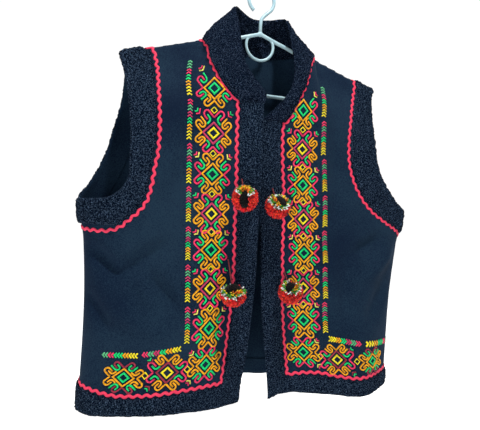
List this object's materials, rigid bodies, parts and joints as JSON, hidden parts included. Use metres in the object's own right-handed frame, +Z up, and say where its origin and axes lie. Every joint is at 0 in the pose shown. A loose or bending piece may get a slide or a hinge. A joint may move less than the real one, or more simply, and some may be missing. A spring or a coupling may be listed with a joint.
{
  "type": "embroidered folk vest on a wire hanger",
  "caption": "Sleeveless open-front folk vest with a standing pile collar, pile edge trims, rickrack braid and yarn pompoms, hanging open on a dipped wire hanger.",
  "frame": {"origin": "where a rod meets the inside of the hanger's hook", "axes": "+Z up, the vest's fronts face -Y, and the wearer's right side is at -X"},
  "size_m": [0.575, 0.1933, 0.6882],
  "materials": {
    "cloth": "dark navy milled wool cloth, matt, carrying bright satin-stitch embroidery",
    "pile": "curled black-navy loop pile with pale flecks",
    "braid": "coral-pink woven rickrack",
    "yarn": "cut yarn in red with bands of white, green, yellow and black",
    "wire": "pale blue plastic-dipped wire"
  },
  "bodies": {
    "root": {"armhole_trim_back_left": "pile", "armhole_trim_back_right": "pile", "armhole_trim_front_left": "pile", "armhole_trim_front_right": "pile", "back": "cloth", "back_braid_armhole_left": "braid", "back_braid_armhole_right": "braid", "back_braid_hem": "braid", "back_braid_neck": "braid", "braid_armhole_left": "braid", "braid_armhole_right": "braid", "braid_edge_left": "braid", "braid_edge_right": "braid", "braid_hem_left": "braid", "braid_hem_right": "braid", "braid_neck_left": "braid", "braid_neck_right": "braid", "collar": "pile", "front_left": "cloth", "front_right": "cloth", "front_trim_left": "pile", "front_trim_right": "pile", "hanger": "wire", "hem_trim_back": "pile", "pompom_lower_left": "yarn", "pompom_lower_right": "yarn", "pompom_upper_left": "yarn", "pompom_upper_right": "yarn", "tie_lower_left": "pile", "tie_lower_right": "pile", "tie_upper_left": "pile", "tie_upper_right": "pile"}
  },
  "joints": []
}
